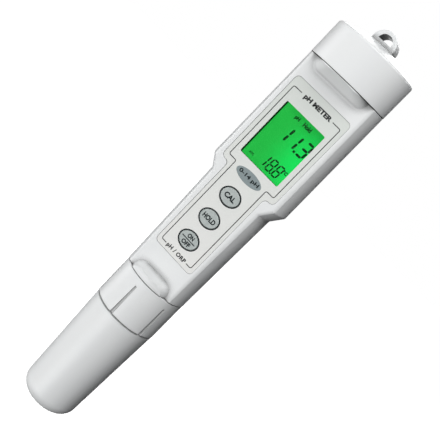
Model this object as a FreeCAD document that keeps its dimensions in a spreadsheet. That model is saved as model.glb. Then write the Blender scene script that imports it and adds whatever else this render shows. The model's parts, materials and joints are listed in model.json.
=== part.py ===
import FreeCAD, Part
import math
import os
from types import SimpleNamespace

import Sketcher

# A pocket pH and redox tester, standing upright on its protective cap.
# +Z runs from the flat base of the protective cap to the lanyard eye on the battery cap.
# The display faces -Y.  The origin is the centre of the base.  Millimetres.

SIZES = {
    # protective cap over the electrode
    "cap_length": 52.2,
    "cap_base_radius": 12.6,
    "cap_mouth_radius": 14.7,
    "cap_wall": 1.7,
    "cap_floor": 2.0,
    "cap_base_round": 6.0,
    "cap_lip_chamfer": 0.5,
    "bush_low": 42.5,
    "bush_high": 51.0,
    "bush_bore_radius": 10.75,
    "bush_gap": 0.03,
    "sponge_radius": 8.6,
    "sponge_foot_radius": 5.6,
    "sponge_high": 8.6,
    "sponge_edge": 0.8,
    "sponge_dish_radius": 3.0,
    "sponge_dish_depth": 1.0,
    # collar ring that locks the electrode module to the housing
    "collar_low": 52.4,
    "collar_high": 70.9,
    "collar_radius": 14.85,
    "collar_bore_radius": 12.08,
    "collar_lip_high": 55.8,
    "collar_lip_radius": 10.9,
    "collar_edge": 0.3,
    "grip_groove_count": 6,
    "grip_groove_low_radius": 0.8,
    "grip_groove_high_radius": 0.45,
    "grip_groove_high": 67.4,
    "grip_groove_turn": -93.5,
    # housing
    "housing_low": 71.1,
    "housing_high": 180.1,
    "neck_low": 61.1,
    "neck_radius": 12.0,
    "neck_bore_radius": 10.4,
    "neck_bore_high": 72.4,
    "socket_bore_radius": 7.5,
    "grip_low_radius": 14.95,
    "grip_high_radius": 15.8,
    "shoulder_low": 121.0,
    "shoulder_high": 126.2,
    "shoulder_hollow_round": 1.2,
    "shoulder_crest_round": 0.8,
    "head_half_width": 19.6,
    "head_half_depth": 17.5,
    "seam_half_width": 19.25,
    "wall": 1.8,
    "chamber_low": 79.0,
    "ledge_low": 179.3,
    "ledge_half_width": 16.9,
    "ledge_half_depth": 15.0,
    # flat front of the housing and the ramps at its two ends
    "flat_offset": 9.4,
    "flat_foot_low": 76.0,
    "flat_foot_high": 175.7,
    "low_ramp_run": 2.5,
    "high_ramp_run": 4.4,
    "flat_edge_round": 2.2,
    "flat_foot_round": 1.0,
    "low_ramp_half_width": 9.6,
    "high_ramp_half_width": 13.6,
    "ramp_corner_round": 4.5,
    "flat_edge_over": 0.05,
    # recess and label on the flat
    "label_depth": 0.4,
    "label_thick": 0.3,
    "label_gap": 0.12,
    "label_high": 170.4,
    "label_shoulder": 127.5,
    "label_low": 84.8,
    "label_half_width": 14.6,
    "label_stem_half_width": 10.4,
    "label_round": 2.0,
    # display stack
    "window_half_width": 10.35,
    "window_low": 133.9,
    "window_high": 160.3,
    "window_round": 0.6,
    "lens_margin": 0.7,
    "lens_gap": 0.15,
    "lens_thick": 1.0,
    "bezel_margin": 2.4,
    "bezel_side_inset": 0.2,
    "bezel_thick": 0.8,
    "bezel_gap": 0.1,
    "glass_half_width": 12.4,
    "glass_low": 129.2,
    "glass_high": 162.2,
    "glass_thick": 1.7,
    "backlight_low": 132.2,
    "backlight_inset": 0.3,
    "backlight_thick": 2.4,
    "strip_low": 129.5,
    "strip_high": 131.7,
    "strip_half_width": 11.0,
    # keys
    "key_half_width": 4.35,
    "key_half_height": 3.42,
    "key_gap": 0.25,
    "key_proud": 0.25,
    "key_flange": 0.9,
    "key_flange_thick": 0.6,
    "key_flange_gap": 0.15,
    "key_travel": 0.5,
    "key_pitch": 11.9,
    "key_middle": 106.3,
    "mat_half_width": 8.0,
    "mat_half_length": 18.4,
    "mat_thick": 0.6,
    "mat_gap": 0.1,
    "mat_foot_radius": 1.1,
    "mat_foot_inset": 1.3,
    "switch_side": 6.0,
    "switch_button_radius": 1.75,
    "switch_button_gap": 0.05,
    "switch_button_height": 0.35,
    # board and the carrier behind it
    "board_thick": 1.6,
    "board_high": 167.4,
    "board_step": 124.0,
    "board_low": 80.0,
    "board_half_width": 14.0,
    "board_stem_half_width": 11.3,
    "chip_thick": 1.4,
    "processor_height": 143.0,
    "processor_half_side": 5.0,
    "amplifier_height": 102.0,
    "amplifier_half_width": 2.5,
    "amplifier_half_length": 2.0,
    "carrier_stand_off": 2.0,
    "carrier_thick": 1.8,
    "carrier_inset": 0.4,
    "carrier_high": 168.3,
    "boss_radius": 2.4,
    "screw_high": 165.0,
    "screw_high_half_pitch": 11.2,
    "screw_low": 83.2,
    "screw_low_half_pitch": 8.6,
    "screw_radius": 1.0,
    "screw_head_radius": 1.8,
    "screw_head_thick": 1.1,
    "screw_length": 5.0,
    "screw_hole_radius": 1.1,
    "screw_slot_half_length": 1.3,
    "screw_slot_half_width": 0.25,
    "screw_slot_depth": 0.5,
    # battery holder, cells and battery cap
    "holder_low": 168.5,
    "holder_front_gap": 0.3,
    "holder_flange_half_width": 16.85,
    "holder_flange_half_depth": 14.95,
    "holder_neck_half_width": 16.4,
    "holder_neck_half_depth": 14.5,
    "holder_body_half_width": 16.3,
    "holder_body_half_depth": 14.4,
    "holder_high": 189.6,
    "cell_radius": 5.8,
    "cell_thick": 5.4,
    "cell_button_radius": 4.6,
    "cell_button_thick": 0.4,
    "cell_offset": 6.2,
    "cell_low": 178.2,
    "well_radius": 5.95,
    "well_low": 175.6,
    "leaf_half_width": 1.8,
    "leaf_half_length": 4.45,
    "leaf_thick": 0.3,
    "seal_radius": 0.75,
    "seal_groove_depth": 1.2,
    "seal_proud": 0.09,
    "gasket_thick": 0.25,
    "gasket_inset": 0.12,
    "gasket_gap": 0.1,
    "battery_cap_low": 180.4,
    "battery_cap_half_width": 19.35,
    "battery_cap_half_depth": 17.5,
    "battery_cap_rim": 196.0,
    "battery_cap_dome": 4.0,
    "battery_cap_bore_half_width": 16.7,
    "battery_cap_bore_half_depth": 14.8,
    "battery_cap_ceiling": 192.5,
    "battery_cap_rim_round": 1.2,
    "eye_radius": 5.3,
    "eye_height": 200.5,
    "eye_half_depth": 5.0,
    "eye_hole_radius": 3.1,
    "eye_hole_low": 201.1,
    "eye_round": 0.6,
    "bridge_gap": 0.15,
    "bridge_thick": 0.4,
    "bridge_half_width": 2.0,
    "bridge_over_cell": 4.0,
    "bridge_foot_half": 1.0,
    "bridge_bend": 2.0,
    "bridge_bend_over": 0.3,
    # electrode module
    "module_head_radius": 10.3,
    "module_high": 71.2,
    "module_flange_low": 56.0,
    "module_flange_high": 60.9,
    "module_flange_radius": 11.8,
    "module_spigot_low": 42.0,
    "module_spigot_radius": 10.6,
    "stem_radius": 6.5,
    "stem_bore_radius": 5.4,
    "stem_low": 20.0,
    "module_bore_high": 68.0,
    "head_seal_height": 66.0,
    "spigot_seal_height": 47.0,
    "guard_low": 9.6,
    "guard_wall": 1.0,
    "guard_slot_half_width": 2.3,
    "guard_slot_low": 12.0,
    "guard_slot_high": 18.0,
    "sensor_plug_high": 27.0,
    "bulb_offset": 1.7,
    "bulb_radius": 2.9,
    "bulb_height": 15.4,
    "bulb_wall": 0.5,
    "glass_stem_radius": 1.7,
    "glass_stem_high": 60.0,
    "probe_offset": 3.2,
    "probe_side": 1.7,
    "probe_radius": 0.9,
    "probe_low": 13.0,
    "probe_high": 34.0,
    "redox_radius": 0.6,
    "junction_radius": 1.0,
    "junction_offset": 4.0,
    "junction_proud": 0.6,
    "wire_radius": 0.35,
    "reference_wire_x": 1.6,
    "reference_wire_y": -3.2,
    "contact_disc_radius": 6.8,
    "contact_disc_thick": 1.0,
    "pin_radius": 0.5,
    "pin_circle_radius": 4.4,
    "pin_count": 5,
    "pin_high": 77.0,
    "pin_hole_radius": 0.6,
    "socket_low": 73.2,
}

doc = FreeCAD.newDocument("ph_test_pen")
sheet = doc.addObject("Spreadsheet::Sheet", "sizes")
for row, (alias, value) in enumerate(SIZES.items(), start=1):
    sheet.set("A%d" % row, alias)
    sheet.set("B%d" % row, str(value))
    sheet.setAlias("B%d" % row, alias)
doc.recompute()

sub_parts = []
past = 1.0  # how far a cutting tool runs past what it cuts, and one fused solid into the next


class Size:
    """A length: its value, and the expression that gives it from the sheet."""

    def __init__(self, value, text):
        self.value = value
        self.text = text

    def join(self, sign, other, value):
        return Size(value, "(%s %s %s)" % (self.text, sign, other.text))

    def __add__(self, other):
        other = as_size(other)
        return self.join("+", other, self.value + other.value)

    def __sub__(self, other):
        other = as_size(other)
        return self.join("-", other, self.value - other.value)

    def __mul__(self, other):
        other = as_size(other)
        return self.join("*", other, self.value * other.value)

    def __truediv__(self, other):
        other = as_size(other)
        return self.join("/", other, self.value / other.value)

    def __neg__(self):
        return Size(-self.value, "(0 - %s)" % self.text)


def as_size(thing):
    return thing if isinstance(thing, Size) else Size(float(thing), repr(float(thing)))


size = SimpleNamespace(**{alias: Size(value, "sizes." + alias) for alias, value in SIZES.items()})


# ---------------------------------------------------------------- helpers

def bind(thing, **rules):
    """Bind properties to sizes; x, y and z stand for the placement."""
    for name, rule in rules.items():
        target = ".Placement.Base." + name if name in ("x", "y", "z") else name
        thing.setExpression(target, as_size(rule).text)
    return thing


def sub_part(thing, node):
    """Finish a sub-part; its label is its node and file name."""
    thing.Label = node
    sub_parts.append(thing)
    return thing


def box(name, x, y, z):
    """A box from (low, high) pairs."""
    thing = doc.addObject("Part::Box", name)
    length, width, height = (as_size(high) - low for low, high in (x, y, z))
    return bind(thing, x=x[0], y=y[0], z=z[0], Length=length, Width=width, Height=height)


def cylinder(name, radius, low, high, x=0, y=0):
    """An upright cylinder between two heights."""
    thing = doc.addObject("Part::Cylinder", name)
    return bind(thing, Radius=radius, Height=as_size(high) - low, x=x, y=y, z=low)


def bar(name, radius, x, front, back, z):
    """A round bar along Y between two Y positions."""
    thing = doc.addObject("Part::Cylinder", name)
    turn = FreeCAD.Rotation(FreeCAD.Vector(1, 0, 0), -90)
    thing.Placement = FreeCAD.Placement(FreeCAD.Vector(), turn)
    return bind(thing, Radius=radius, Height=as_size(back) - front, x=x, y=front, z=z)


def cone(name, low_radius, high_radius, low, high):
    """An upright cone frustum between two heights."""
    thing = doc.addObject("Part::Cone", name)
    return bind(thing, Radius1=low_radius, Radius2=high_radius, Height=as_size(high) - low, z=low)


def front_oval(name, half_width, half_height, front, back, height):
    """An oval bar along Y between two Y positions, centred on X = 0."""
    edge = doc.addObject("Part::Ellipse", name + "_outline")
    turn = FreeCAD.Rotation(FreeCAD.Vector(1, 0, 0), 90)
    edge.Placement = FreeCAD.Placement(FreeCAD.Vector(), turn)
    bind(edge, MajorRadius=half_width, MinorRadius=half_height, y=back, z=height)
    thing = doc.addObject("Part::Extrusion", name)
    thing.Base = edge
    thing.DirMode = "Custom"
    thing.Dir = FreeCAD.Vector(0, -1, 0)
    thing.Solid = True
    return bind(thing, LengthFwd=as_size(back) - front)


def upright_oval(name, half_width, half_depth, low, high):
    """An upright oval bar between two heights, centred on the pen's axis."""
    edge = doc.addObject("Part::Ellipse", name + "_outline")
    bind(edge, MajorRadius=half_width, MinorRadius=half_depth, z=low)
    thing = doc.addObject("Part::Extrusion", name)
    thing.Base = edge
    thing.DirMode = "Custom"
    thing.Dir = FreeCAD.Vector(0, 0, 1)
    thing.Solid = True
    return bind(thing, LengthFwd=as_size(high) - low)


def oval_loft(name, sections):
    """A straight-sided solid through level ovals: (height, half width, half depth)."""
    rings = []
    for count, (height, half_width, half_depth) in enumerate(sections):
        ring = doc.addObject("Part::Ellipse", "%s_ring_%d" % (name, count))
        rings.append(bind(ring, MajorRadius=half_width, MinorRadius=half_depth, z=height))
    thing = doc.addObject("Part::Loft", name)
    thing.Sections = rings
    thing.Solid = True
    thing.Ruled = True
    return thing


def fuse(name, shapes):
    thing = doc.addObject("Part::MultiFuse", name)
    thing.Shapes = shapes
    return thing


def group(name, solids):
    """Separate identical solids kept together as one sub-part."""
    thing = doc.addObject("Part::Compound", name)
    thing.Links = solids
    return thing


def common(name, first, second):
    thing = doc.addObject("Part::Common", name)
    thing.Base = first
    thing.Tool = second
    return thing


def cut(name, base, tools):
    """Take one or more tools out of a base."""
    thing = doc.addObject("Part::Cut", name)
    thing.Base = base
    thing.Tool = tools[0] if len(tools) == 1 else fuse(name + "_tools", tools)
    return thing


def rounded(name, base, radius, wanted):
    """Fillet the edges of base that wanted(edge) picks."""
    doc.recompute()
    thing = doc.addObject("Part::Fillet", name)
    thing.Base = base
    edges = enumerate(base.Shape.Edges, start=1)
    thing.Edges = [(number, radius.value, radius.value) for number, edge in edges if wanted(edge)]
    return thing


def origin_item(body, role):
    """One of the body's own origin planes or axes."""
    return next(item for item in body.Origin.OriginFeatures if item.Role == role)


def sketch_on(body, name, plane, offset=0):
    """A sketch on one of the body's own origin planes, moved along its normal."""
    sketch = body.newObject("Sketcher::SketchObject", name)
    sketch.AttachmentSupport = [(origin_item(body, plane), "")]
    sketch.MapMode = "FlatFace"
    sketch.setExpression(".AttachmentOffset.Base.z", as_size(offset).text)
    return sketch


def outline(sketch, corners):
    """A closed outline through (first, second) places measured from the sketch's origin."""
    corners = [(as_size(first), as_size(second)) for first, second in corners]
    places = [FreeCAD.Vector(first.value, second.value, 0) for first, second in corners]
    for here, there in zip(places, places[1:] + places[:1]):
        sketch.addGeometry(Part.LineSegment(here, there), False)
    for edge, corner in enumerate(corners):
        last = (edge - 1) % len(corners)
        sketch.addConstraint(Sketcher.Constraint("Coincident", last, 2, edge, 1))
        for kind, place in zip(("DistanceX", "DistanceY"), corner):
            rule = Sketcher.Constraint(kind, -1, 1, edge, 1, place.value)
            number = sketch.addConstraint(rule)
            sketch.setExpression("Constraints[%d]" % number, place.text)


def turned(name, profile, x=0, y=0):
    """A body turned about its own Z axis from a (radius, height) profile."""
    body = doc.addObject("PartDesign::Body", name)
    sketch = sketch_on(body, name + "_profile", "XZ_Plane")
    outline(sketch, profile)
    turn = body.newObject("PartDesign::Revolution", name + "_turn")
    turn.Profile = sketch
    turn.ReferenceAxis = (sketch, ["V_Axis"])
    turn.Angle = 360.0
    return bind(body, x=x, y=y)


def front_plate(name, corners, front, back):
    """A body padded along Y between two Y positions from an (x, z) outline."""
    body = doc.addObject("PartDesign::Body", name)
    sketch = sketch_on(body, name + "_outline", "XZ_Plane", -as_size(back))
    outline(sketch, corners)
    pad = body.newObject("PartDesign::Pad", name + "_pad")
    pad.Profile = sketch
    pad.setExpression("Length", (as_size(back) - front).text)
    return body


def frame_corners(half_width, low, high):
    """Corners of an upright rectangle centred on X = 0."""
    return [(-half_width, low), (half_width, low), (half_width, high), (-half_width, high)]


def tee_corners(half_width, stem_half_width, low, step, high):
    """Corners of an upright T: a narrow stem below a wider head."""
    right = [(stem_half_width, low), (stem_half_width, step), (half_width, step), (half_width, high)]
    left = [(-across, height) for across, height in reversed(right)]
    return right + left


def body_fillet(body, radius, wanted):
    """Fillet the edges of the body's tip that wanted(edge) picks."""
    doc.recompute()
    tip = body.Tip
    edges = enumerate(tip.Shape.Edges, start=1)
    names = ["Edge%d" % number for number, edge in edges if wanted(edge)]
    fillet = body.newObject("PartDesign::Fillet", body.Name + "_fillet_%d" % len(body.Group))
    fillet.Base = (tip, names)
    fillet.setExpression("Radius", as_size(radius).text)
    return fillet


def runs_along(edge, axis):
    """True for a straight edge along one axis, given as 0, 1 or 2."""
    return isinstance(edge.Curve, Part.Line) and abs(abs(edge.Curve.Direction[axis]) - 1) < 1e-6


def level_at(edge, height):
    """True for an edge that lies at one height."""
    limits = edge.BoundBox
    return abs(limits.ZMin - height.value) < 1e-4 and abs(limits.ZMax - height.value) < 1e-4


# ---------------------------------------------------------------- housing

flat = -size.flat_offset
front_inside = -(size.flat_offset - size.wall)
label_floor = -(size.flat_offset - size.label_depth)


def front_section(height, half_width, half_depth):
    """A level outline whose front line is blended by arcs into an oval's own sides."""
    front_y = flat.value
    blend = size.flat_edge_round.value
    half_width += size.flat_edge_over.value
    half_depth += size.flat_edge_over.value
    touch_y = front_y
    for _ in range(20):
        sine = touch_y / half_depth
        cosine = math.sqrt(1 - sine * sine)
        inward = FreeCAD.Vector(-cosine / half_width, -sine / half_depth, 0).normalize()
        touch_y = front_y + blend * (1 - inward.y)
    touch = FreeCAD.Vector(half_width * cosine, touch_y, height)
    centre = touch + inward * blend
    start = FreeCAD.Vector(centre.x, front_y, height)
    middle = centre + (start + touch - centre * 2).normalize() * blend
    far_side = touch + FreeCAD.Vector(inward.y, -inward.x, 0) * size.grip_low_radius.value
    far_back = FreeCAD.Vector(far_side.x, size.head_half_width.value * 1.5, height)
    right = [start, middle, touch, far_side, far_back]
    left = [FreeCAD.Vector(-place.x, place.y, place.z) for place in right]
    return Part.Wire([
        Part.makeLine(left[0], right[0]),
        Part.Arc(right[0], right[1], right[2]).toShape(),
        Part.makeLine(right[2], right[3]),
        Part.makeLine(right[3], right[4]),
        Part.makeLine(right[4], left[4]),
        Part.makeLine(left[4], left[3]),
        Part.makeLine(left[3], left[2]),
        Part.Arc(left[2], left[1], left[0]).toShape(),
    ])


def front_limit():
    """Everything behind the flat front, with the flat's side edges rounded over."""
    low_radius = size.grip_low_radius.value
    grip_slope = (size.grip_high_radius.value - low_radius) / (size.shoulder_low - size.housing_low).value
    below = low_radius - grip_slope * past
    sections = [
        front_section(size.housing_low.value - past, below, below),
        front_section(size.shoulder_low.value, size.grip_high_radius.value, size.grip_high_radius.value),
        front_section(size.shoulder_high.value, size.head_half_width.value, size.head_half_depth.value),
        front_section(size.housing_high.value + past, size.seam_half_width.value,
                      size.head_half_depth.value),
    ]
    thing = doc.addObject("Part::Feature", "front_limit")
    thing.Shape = Part.makeLoft(sections, True, True)
    thing.Placement = FreeCAD.Placement()
    return thing


def end_ramp(name, half_width, foot, end, run, rise):
    """The block at one end of the flat, sloping on three sides from its foot out to the full section."""
    far = end + (end - foot) * 2
    low, high = sorted((foot, far), key=lambda height: height.value)
    body = front_plate(name, frame_corners(half_width, low, high), flat - rise - past, flat)
    body.Tip.setExpression("TaperAngle", "-1 * atan(%s / %s)" % (run.text, rise.text))
    reach = abs(far.value - foot.value) / 2
    body_fillet(body, size.ramp_corner_round,
                lambda edge: edge.BoundBox.YLength > 1 and abs(edge.CenterOfMass.z - foot.value) < reach)
    return body


def upper_foot(edge):
    """True for the edge where the flat meets the upper ramp."""
    limits = edge.BoundBox
    on_flat = abs(limits.YMin - flat.value) < 1e-3 and abs(limits.YMax - flat.value) < 1e-3
    return on_flat and limits.XMin < 0 < limits.XMax and limits.ZMin > size.shoulder_high.value


def housing():
    """The one-piece shell: round grip, sloping shoulder, oval head, and the threaded neck."""
    grip = cone("grip", size.grip_low_radius, size.grip_high_radius, size.housing_low, size.shoulder_low)
    head = oval_loft("head", [
        (size.shoulder_low, size.grip_high_radius, size.grip_high_radius),
        (size.shoulder_high, size.head_half_width, size.head_half_depth),
        (size.housing_high, size.seam_half_width, size.head_half_depth),
    ])
    outside = fuse("outside", [grip, head])
    hollowed = rounded("shoulder_hollow", outside, size.shoulder_hollow_round,
                       lambda edge: level_at(edge, size.shoulder_low))
    crested = rounded("shoulder_crest", hollowed, size.shoulder_crest_round,
                      lambda edge: level_at(edge, size.shoulder_high))
    low_ramp = end_ramp("low_ramp", size.low_ramp_half_width, size.flat_foot_low, size.housing_low,
                        size.low_ramp_run, size.grip_low_radius - size.flat_offset)
    high_ramp = end_ramp("high_ramp", size.high_ramp_half_width, size.flat_foot_high, size.housing_high,
                         size.high_ramp_run, size.head_half_depth - size.flat_offset)
    flattened = common("flattened", crested, fuse("front_tool", [front_limit(), low_ramp, high_ramp]))
    softened = rounded("softened", flattened, size.flat_foot_round, upper_foot)
    neck = cylinder("neck", size.neck_radius, size.neck_low, size.housing_low + past)
    shell = fuse("shell", [softened, neck])
    return sub_part(cut("housing", shell, chamber_tools()), "housing")


def chamber_tools():
    """Everything hollow in the housing: chamber, ledge, bores, window, key holes, recess."""
    inset = size.wall
    chamber = fuse("chamber_full", [
        cone("chamber_grip", size.grip_low_radius - inset, size.grip_high_radius - inset,
             size.chamber_low, size.shoulder_low + past),
        oval_loft("chamber_head", [
            (size.shoulder_low + past, size.grip_high_radius - inset, size.grip_high_radius - inset),
            (size.shoulder_high + past, size.head_half_width - inset, size.head_half_depth - inset),
            (size.housing_high, size.seam_half_width - inset, size.head_half_depth - inset),
        ]),
    ])
    reach = size.head_half_width + past
    behind_front = box("behind_front", (-reach, reach), (front_inside, reach),
                       (size.chamber_low - past, size.housing_high + past))
    ledge = upright_oval("ledge", size.ledge_half_width, size.ledge_half_depth, size.ledge_low,
                         size.housing_high + past)
    neck_bore = cylinder("neck_bore", size.neck_bore_radius, size.neck_low - past, size.neck_bore_high)
    socket_bore = cylinder("socket_bore", size.socket_bore_radius, size.neck_bore_high - past,
                           size.chamber_low + past)
    window = box("window", *window_box(size.lens_margin + size.lens_gap, flat - past, front_inside + past))
    tools = [common("chamber", chamber, behind_front), ledge, neck_bore, socket_bore, window, recess()]
    for number, height in enumerate(key_heights()):
        tools.append(front_oval("key_hole_%d" % number, size.key_half_width + size.key_gap,
                                size.key_half_height + size.key_gap, flat - past, front_inside + past,
                                height))
    return tools


def window_box(margin, front, back):
    """Limits of a box over the display window, larger all round by margin."""
    half = size.window_half_width + margin
    return (-half, half), (front, back), (size.window_low - margin, size.window_high + margin)


def key_heights():
    """Heights of the three keys, lowest first."""
    return [size.key_middle + size.key_pitch * step for step in (-1, 0, 1)]


def recess():
    """The shallow T-shaped pocket in the flat that takes the label."""
    corners = tee_corners(size.label_half_width, size.label_stem_half_width, size.label_low,
                          size.label_shoulder, size.label_high)
    body = front_plate("recess", corners, flat - past, label_floor)
    body_fillet(body, size.label_round, lambda edge: runs_along(edge, 1))
    return body


def face_label():
    """The printed label, lying in its recess, open at the window and the keys."""
    gap = size.label_gap
    front = label_floor - size.label_thick
    corners = tee_corners(size.label_half_width - gap, size.label_stem_half_width - gap,
                          size.label_low + gap, size.label_shoulder + gap, size.label_high - gap)
    plate = front_plate("label_plate", corners, front, label_floor)
    body_fillet(plate, size.label_round - gap, lambda edge: runs_along(edge, 1))
    opening = frame_corners(size.window_half_width, size.window_low, size.window_high)
    window = front_plate("label_window", opening, front - past, label_floor + past)
    body_fillet(window, size.window_round, lambda edge: runs_along(edge, 1))
    holes = [window]
    for number, height in enumerate(key_heights()):
        holes.append(front_oval("label_hole_%d" % number, size.key_half_width + size.key_gap,
                                size.key_half_height + size.key_gap, front - past, label_floor + past,
                                height))
    return sub_part(cut("face_label", plate, holes), "face_label")


# ---------------------------------------------------------------- display stack

lens_back = label_floor + size.lens_thick
glass_front = front_inside + size.bezel_gap + size.bezel_thick
glass_back = glass_front + size.glass_thick
board_front = glass_back + size.backlight_thick
board_back = board_front + size.board_thick


def display_lens():
    """The clear window, set in the housing's opening and masked by the label's edge."""
    corners = frame_corners(size.window_half_width + size.lens_margin, size.window_low - size.lens_margin,
                            size.window_high + size.lens_margin)
    body = front_plate("display_lens", corners, label_floor, lens_back)
    body_fillet(body, size.window_round, lambda edge: runs_along(edge, 1))
    return sub_part(body, "display_lens")


def display_bezel():
    """The black frame between window and glass: a sleeve in the opening and a flange behind it."""
    flange_front = front_inside + size.bezel_gap
    flange_middle = flange_front + size.bezel_thick / 2
    sleeve = box("bezel_sleeve", *window_box(size.lens_margin, lens_back, flange_middle))
    flange = box("bezel_flange", *window_box(size.bezel_margin, flange_front, glass_front))
    opening = frame_corners(size.window_half_width - size.bezel_side_inset, size.window_low,
                            size.window_high)
    hole = front_plate("bezel_hole", opening, lens_back - past, glass_front + past)
    return sub_part(cut("display_bezel", fuse("bezel_solid", [sleeve, flange]), [hole]), "display_bezel")


def display_glass():
    """The liquid-crystal cell: two panes, the rear one longer by its contact ledge."""
    middle = glass_front + size.glass_thick / 2
    half = size.glass_half_width
    front_pane = box("front_pane", (-half, half), (glass_front, middle), (size.strip_high, size.glass_high))
    rear_pane = box("rear_pane", (-half, half), (middle, glass_back), (size.glass_low, size.glass_high))
    return sub_part(fuse("display_glass", [front_pane, rear_pane]), "display_glass")


def backlight_panel():
    """The light guide between the glass and the board, with its corners rounded."""
    corners = frame_corners(size.glass_half_width - size.backlight_inset, size.backlight_low,
                            size.glass_high)
    body = front_plate("backlight_panel", corners, glass_back, board_front)
    body_fillet(body, size.window_round, lambda edge: runs_along(edge, 1))
    return sub_part(body, "backlight_panel")


def contact_strip():
    """The elastomer strip that joins the glass's contact ledge to the board."""
    half = size.strip_half_width
    corners = frame_corners(half, size.strip_low, size.strip_high)
    body = front_plate("contact_strip", corners, glass_back, board_front)
    body_fillet(body, size.window_round, lambda edge: runs_along(edge, 1))
    return sub_part(body, "contact_strip")


# ---------------------------------------------------------------- keys

key_flange_front = front_inside + size.key_flange_gap
key_back = key_flange_front + size.key_flange_thick
mat_front = key_back + size.key_travel + size.mat_gap
mat_back = mat_front + size.mat_thick


def key(node, height):
    """One oval key cap; a flange behind the wall keeps it from falling out."""
    top = label_floor - size.label_thick - size.key_proud
    stem = front_oval(node + "_stem", size.key_half_width, size.key_half_height, top, key_flange_front,
                      height)
    crowned = rounded(node + "_crown", stem, size.key_proud,
                      lambda edge: abs(edge.BoundBox.YMax - top.value) < 1e-4)
    flange = front_oval(node + "_flange", size.key_half_width + size.key_flange,
                        size.key_half_height + size.key_flange, key_flange_front, key_back, height)
    return sub_part(fuse(node, [crowned, flange]), node)


def keypad_mat():
    """The rubber mat behind the keys, on four feet that stand on the board."""
    low = size.key_middle - size.mat_half_length
    high = size.key_middle + size.mat_half_length
    half = size.mat_half_width
    mat = box("mat_sheet", (-half, half), (mat_front, mat_back), (low, high))
    feet = []
    inset = size.mat_foot_inset
    for side in (-1, 1):
        for end, height in enumerate((low + inset, high - inset)):
            feet.append(bar("mat_foot_%d_%d" % (side + 1, end), size.mat_foot_radius,
                            (half - inset) * side, mat_front + size.mat_thick / 2, board_front, height))
    return sub_part(fuse("keypad_mat", [mat] + feet), "keypad_mat")


def tactile_switches():
    """Three square switches on the board, one behind each key."""
    switches = []
    half = size.switch_side / 2
    button_front = mat_back + size.switch_button_gap
    shoulder = button_front + size.switch_button_height
    for number, height in enumerate(key_heights()):
        case = box("switch_case_%d" % number, (-half, half), (shoulder, board_front),
                   (height - half, height + half))
        button = bar("switch_button_%d" % number, size.switch_button_radius, 0, button_front,
                     shoulder + size.switch_button_height, height)
        switches.append(fuse("switch_%d" % number, [case, button]))
    return sub_part(group("tactile_switches", switches), "tactile_switches")


# ---------------------------------------------------------------- board and carrier

carrier_front = board_back + size.carrier_stand_off
carrier_back = carrier_front + size.carrier_thick


def screw_places():
    """The four (x, z) places where the board is screwed to its carrier."""
    high = [(size.screw_high_half_pitch * side, size.screw_high) for side in (-1, 1)]
    low = [(size.screw_low_half_pitch * side, size.screw_low) for side in (-1, 1)]
    return high + low


def main_board():
    """The circuit board: narrow between the keys, wide behind the display."""
    corners = tee_corners(size.board_half_width, size.board_stem_half_width, size.board_low,
                          size.board_step, size.board_high)
    plate = front_plate("board_plate", corners, board_front, board_back)
    holes = [bar("board_hole_%d" % number, size.screw_hole_radius, x, board_front - past,
                 board_back + past, z) for number, (x, z) in enumerate(screw_places())]
    return sub_part(cut("main_board", plate, holes), "main_board")


def board_chips():
    """The processor and the amplifier on the back of the board."""
    back = board_back + size.chip_thick
    side = size.processor_half_side
    processor = box("processor", (-side, side), (board_back, back),
                    (size.processor_height - side, size.processor_height + side))
    half_width = size.amplifier_half_width
    half_length = size.amplifier_half_length
    amplifier = box("amplifier", (-half_width, half_width), (board_back, back),
                    (size.amplifier_height - half_length, size.amplifier_height + half_length))
    return sub_part(group("board_chips", [processor, amplifier]), "board_chips")


def board_carrier():
    """The inner frame that carries the board, with a boss for each screw."""
    inset = size.carrier_inset
    corners = tee_corners(size.board_half_width - inset, size.board_stem_half_width - inset,
                          size.board_low + inset, size.board_step + size.carrier_stand_off,
                          size.carrier_high)
    plate = front_plate("carrier_plate", corners, carrier_front, carrier_back)
    bosses = [bar("boss_%d" % number, size.boss_radius, x, board_back, carrier_back, z)
              for number, (x, z) in enumerate(screw_places())]
    pilots = [bar("pilot_%d" % number, size.screw_radius, x, board_back - past, carrier_back + past, z)
              for number, (x, z) in enumerate(screw_places())]
    return sub_part(cut("board_carrier", fuse("carrier_solid", [plate] + bosses), pilots), "board_carrier")


def board_screws():
    """Four pan-head screws that hold the board to the carrier's bosses."""
    head_front = board_front - size.screw_head_thick
    half_length = size.screw_slot_half_length
    half_width = size.screw_slot_half_width
    screws = []
    for number, (x, z) in enumerate(screw_places()):
        head = bar("screw_head_%d" % number, size.screw_head_radius, x, head_front, board_front, z)
        shank = bar("screw_shank_%d" % number, size.screw_radius, x, head_front + size.screw_slot_depth,
                    board_front + size.screw_length, z)
        slot = box("screw_slot_%d" % number, (x - half_length, x + half_length),
                   (head_front - past, head_front + size.screw_slot_depth), (z - half_width, z + half_width))
        screws.append(cut("screw_%d" % number, fuse("screw_solid_%d" % number, [head, shank]), [slot]))
    return sub_part(group("board_screws", screws), "board_screws")


# ---------------------------------------------------------------- batteries

cell_high = size.cell_low + size.cell_thick * 2


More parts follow.
